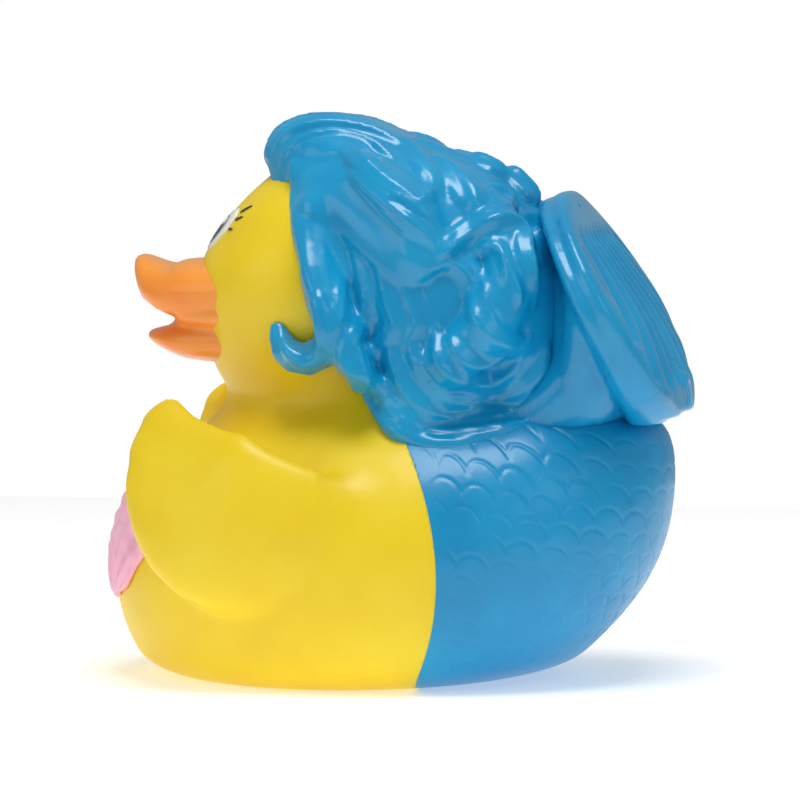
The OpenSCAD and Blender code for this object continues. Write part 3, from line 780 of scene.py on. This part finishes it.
def film(name, outline, middle, proud, made, side):
    """A domed film of paint on the face inside an outline of (y, z) steps from a middle."""
    rings, count, verts = 5, len(outline), []
    spots = [(0.0, 0.0, proud)]
    for r in range(1, rings + 1):
        share = r / rings
        lift_by = proud * (1 - 0.15 * share ** 6) if r < rings else -0.25
        spots += [(p[0] * share, p[1] * share, lift_by) for p in outline]
    for y, z, lift_by in spots:
        start = Vector((-90, side * (middle[0] + y), middle[1] + z))
        hit, normal, _, _ = face.ray_cast(start, Vector((1, 0, 0)))
        verts.append(tuple((hit + normal * lift_by) * MM))
    faces = [(0, 1 + i, 1 + (i + 1) % count) for i in range(count)]
    for r in range(rings - 1):
        a, b = 1 + r * count, 1 + (r + 1) * count
        faces += [(a + i, b + i, b + (i + 1) % count, a + (i + 1) % count) for i in range(count)]
    faces.append([1 + (rings - 1) * count + i for i in range(count)][::-1])
    o = new_object(name, verts, faces)
    only(o)
    bpy.ops.object.mode_set(mode="EDIT")
    bpy.ops.mesh.select_all(action="SELECT")
    bpy.ops.mesh.normals_make_consistent(inside=False)
    bpy.ops.object.mode_set(mode="OBJECT")
    dress(o, made, "float", slot="eye_enamel")
    return o


def oval(half_y, half_z, lean=0.0, point=0.0, count=48):
    made = []
    for k in range(count):
        t = 2 * math.pi * k / count
        y, z = half_y * math.cos(t) * (1 - point * abs(math.sin(t))), half_z * math.sin(t)
        made.append((y + lean * z, z))
    return made


for side, tag in ((-1, "left"), (1, "right")):
    white = film("eye_white_" + tag, oval(4.6, 4.9, 0.1, 0.12), (8.2, 92.8), 0.4, white_enamel, side)
    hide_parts(tag + "_eye")
    film("iris_" + tag, oval(3.3, 3.6, 0.1), (7.6, 92.6), 0.48, iris_enamel, side)
    film("pupil_" + tag, oval(2.0, 2.5, 0.1), (7.4, 92.6), 0.55, black_enamel, side)
    film("glint_" + tag, oval(0.7, 1.0, 0.1, count=24), (8.3, 94.3), 0.62, white_enamel, side)
    lashes = (((12.2, 96.4), (14.2, 98)), ((12.8, 94.9), (14.8, 95.7)), ((13.1, 93.1), (14.8, 93)))
    for k, (start, end) in enumerate(lashes):
        lash = []
        for t, wide in ((0, 0.28), (0.25, 0.3), (0.55, 0.25), (0.8, 0.16), (1, 0.05)):
            y, z = (start[i] + (end[i] - start[i]) * t for i in (0, 1))
            lash.append((y, z, wide))
        slope = math.atan2(end[1] - start[1], end[0] - start[0])
        ny, nz = -math.sin(slope), math.cos(slope)
        mid_y, mid_z = (start[0] + end[0]) / 2, (start[1] + end[1]) / 2
        edge = [(y + ny * w - mid_y, z + nz * w - mid_z) for y, z, w in lash]
        edge += [(y - ny * w - mid_y, z - nz * w - mid_z) for y, z, w in reversed(lash)]
        film(f"lash_{tag}_{k + 1}", edge, (mid_y, mid_z), 0.3, black_enamel, side)

# ---- The dispenser in the foot ----
# Its plastics are injection moulded, with a satin skin and faint flow marks. The washers are rubber,
# the rings are steel and the tablets are pressed powder.


def moulded(name, mid, deep, rough, speck_mm=0.8, bump=0.1, **more):
    made, tree = fresh_material(name)
    place = wire(tree, "ShaderNodeTexCoord")
    flow = wire(tree, "ShaderNodeTexNoise", [("Vector", place, "Object")],
                Scale=120.0, Detail=3.0, Distortion=0.6)
    tone = wire(tree, "ShaderNodeValToRGB", [("Fac", flow, "Fac")])
    tone.color_ramp.elements[0].position, tone.color_ramp.elements[0].color = 0.3, paint(deep)
    tone.color_ramp.elements[1].position, tone.color_ramp.elements[1].color = 0.7, paint(mid)
    speck = wire(tree, "ShaderNodeTexNoise", [("Vector", place, "Object")],
                 Scale=1000.0 / speck_mm, Detail=2.0)
    skin = wire(tree, "ShaderNodeBump", [("Height", speck, "Fac")], Strength=bump, Distance=0.0002)
    satin = wire(tree, "ShaderNodeMapRange", [("Value", flow, "Fac")],
                 To_Min=rough - 0.05, To_Max=rough + 0.07)
    shade = wire(tree, "ShaderNodeBsdfPrincipled",
                 [("Base Color", tone, "Color"), ("Roughness", satin, "Result"), ("Normal", skin, "Normal")],
                 **more)
    wire(tree, "ShaderNodeOutputMaterial", [("Surface", shade, 0)])
    return made


polypropylene = moulded("white_polypropylene", "#E9EAE6", "#DFE1DC", 0.4, Subsurface_Weight=0.08,
                        Subsurface_Radius=(0.003, 0.003, 0.003), Subsurface_Scale=0.5)
acetal = moulded("natural_acetal", "#EFE9D8", "#E6DFCB", 0.28)
sleeve_blue = moulded("tinted_polypropylene", "#9CC4DA", "#8EB9D1", 0.32)
rubber = moulded("nitrile_rubber", "#2B2C2E", "#232426", 0.62, speck_mm=0.5, bump=0.25)
tablet_powder = moulded("pressed_tablet", "#F1F2EC", "#DDDFD6", 0.85, speck_mm=0.6, bump=0.7)
wire_steel = moulded("drawn_steel", "#C9CBCD", "#B4B7BA", 0.22, speck_mm=0.4, bump=0.08, Metallic=1.0)
cast_steel = moulded("galvanised_steel", "#A7ABAE", "#8B9094", 0.45, speck_mm=1.2, bump=0.3, Metallic=1.0)
for made, names in ((polypropylene, ("well", "ring_nut", "lock_cap", "basket")),
                    (acetal, ("stop_bush", "rim_ring")),
                    (sleeve_blue, ("dose_sleeve",)),
                    (rubber, ("flange_gasket", "drag_ring", "cap_washer")),
                    (cast_steel, ("ballast_ring",)), (wire_steel, ("ballast_clip", "pull_ring")),
                    (tablet_powder, ("tablet_1", "tablet_2"))):
    for name in names:
        part = nodes[name]
        if not part.material_slots:
            part.data.materials.append(made)
        for place in part.material_slots:
            place.material = made

# ---- Moulded edges: the parts that are handled have small radii on their edges ----
# Each copy is the part itself with a bevel of 0.2 to 0.5 mm along its sharp edges, as a mould or a
# press leaves them.
for name, body_name, slot_name, made, edge_mm in (
        ("ring_nut", "float", "moulded_white", polypropylene, 0.3),
        ("lock_cap", "cap", "moulded_white", polypropylene, 0.3),
        ("dose_sleeve", "sleeve", "sleeve_plastic", sleeve_blue, 0.2),
        ("tablet_1", "basket", "pressed_tablet", tablet_powder, 0.5),
        ("tablet_2", "basket", "pressed_tablet", tablet_powder, 0.5)):
    part = merged_copy(name + "_edged", name)
    only(part)
    bevel = part.modifiers.new("edge", "BEVEL")
    bevel.width, bevel.segments = edge_mm * MM, 3
    bevel.limit_method, bevel.angle_limit = "ANGLE", math.radians(40)
    bpy.ops.object.modifier_apply(modifier=bevel.name)
    dress(part, made, body_name, name, slot=slot_name)
    only(part)
    bpy.ops.object.shade_smooth_by_angle(angle=math.radians(35))
